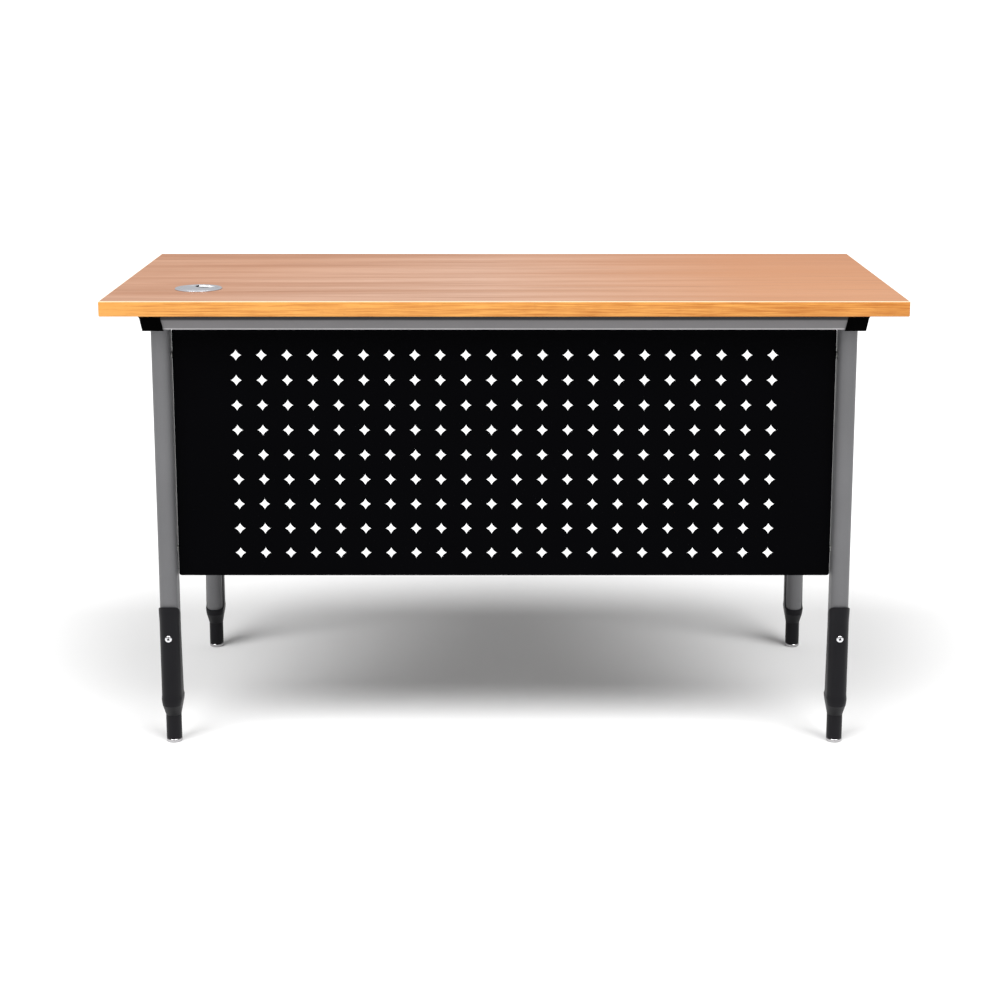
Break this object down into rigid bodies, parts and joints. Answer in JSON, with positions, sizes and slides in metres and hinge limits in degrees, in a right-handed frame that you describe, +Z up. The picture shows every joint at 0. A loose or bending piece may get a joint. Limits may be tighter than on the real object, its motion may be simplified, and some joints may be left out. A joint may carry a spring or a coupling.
{
  "type": "teacher desk",
  "caption": "Wood-laminate teacher's desk on a grey flat-oval steel frame with a star-perforated black modesty panel, black foot sleeves, levelling glides and a cable grommet.",
  "frame": {"origin": "on the floor under the middle of the desk", "axes": "+Z up; +X to the right of someone facing the modesty panel; the modesty panel is on the -Y side, towards the class, and the teacher sits on the +Y side"},
  "size_m": [1.3, 0.6, 0.7619],
  "materials": {
    "laminate": "satin wood-grain laminate",
    "edge_tape": "satin wood-grain edge tape",
    "grey_paint": "satin grey powder coat",
    "black_paint": "satin black powder coat",
    "black_plastic": "satin moulded plastic",
    "chrome": "polished",
    "zinc_plate": "zinc plated",
    "silver_plastic": "silver lacquered plastic"
  },
  "bodies": {
    "frame": {"top_board": "laminate", "edge_band_front": "edge_tape", "edge_band_rear": "edge_tape", "edge_band_left": "edge_tape", "edge_band_right": "edge_tape", "beam_front": "grey_paint", "beam_rear": "grey_paint", "side_rail_left": "grey_paint", "side_rail_right": "grey_paint", "centre_rail": "grey_paint", "beam_end_cap_front_left": "black_plastic", "leg_front_left": "grey_paint", "foot_sleeve_front_left": "black_plastic", "sleeve_screw_front_left": "chrome", "glide_nut_front_left": "zinc_plate", "beam_end_cap_front_right": "black_plastic", "leg_front_right": "grey_paint", "foot_sleeve_front_right": "black_plastic", "sleeve_screw_front_right": "chrome", "glide_nut_front_right": "zinc_plate", "beam_end_cap_rear_left": "black_plastic", "leg_rear_left": "grey_paint", "foot_sleeve_rear_left": "black_plastic", "sleeve_screw_rear_left": "chrome", "glide_nut_rear_left": "zinc_plate", "beam_end_cap_rear_right": "black_plastic", "leg_rear_right": "grey_paint", "foot_sleeve_rear_right": "black_plastic", "sleeve_screw_rear_right": "chrome", "glide_nut_rear_right": "zinc_plate", "modesty_panel": "black_paint", "panel_screw_upper_left": "zinc_plate", "panel_spacer_upper_left": "zinc_plate", "panel_screw_upper_right": "zinc_plate", "panel_spacer_upper_right": "zinc_plate", "panel_screw_lower_left": "zinc_plate", "panel_spacer_lower_left": "zinc_plate", "panel_screw_lower_right": "zinc_plate", "panel_spacer_lower_right": "zinc_plate", "top_screw_front_1": "zinc_plate", "top_screw_front_2": "zinc_plate", "top_screw_front_3": "zinc_plate", "top_screw_rear_1": "zinc_plate", "top_screw_rear_2": "zinc_plate", "top_screw_rear_3": "zinc_plate", "top_screw_left": "zinc_plate", "top_screw_right": "zinc_plate", "grommet_liner": "silver_plastic"},
    "glide_front_left": {"glide_front_left": "chrome"},
    "glide_front_right": {"glide_front_right": "chrome"},
    "glide_rear_left": {"glide_rear_left": "chrome"},
    "glide_rear_right": {"glide_rear_right": "chrome"},
    "grommet_cap": {"grommet_cap": "silver_plastic"}
  },
  "joints": [
    {"name": "glide_front_left_travel", "type": "slide", "parent": "frame", "child": "glide_front_left", "axis": [0, 0, -1], "range_m": [0, 0.01]},
    {"name": "glide_front_right_travel", "type": "slide", "parent": "frame", "child": "glide_front_right", "axis": [0, 0, -1], "range_m": [0, 0.01]},
    {"name": "glide_rear_left_travel", "type": "slide", "parent": "frame", "child": "glide_rear_left", "axis": [0, 0, -1], "range_m": [0, 0.01]},
    {"name": "glide_rear_right_travel", "type": "slide", "parent": "frame", "child": "glide_rear_right", "axis": [0, 0, -1], "range_m": [0, 0.01]},
    {"name": "grommet_cap_turn", "type": "hinge", "parent": "frame", "child": "grommet_cap", "pos_m": [-0.51, -0.16, 0.76], "axis": [0, 0, 1], "continuous": true}
  ]
}
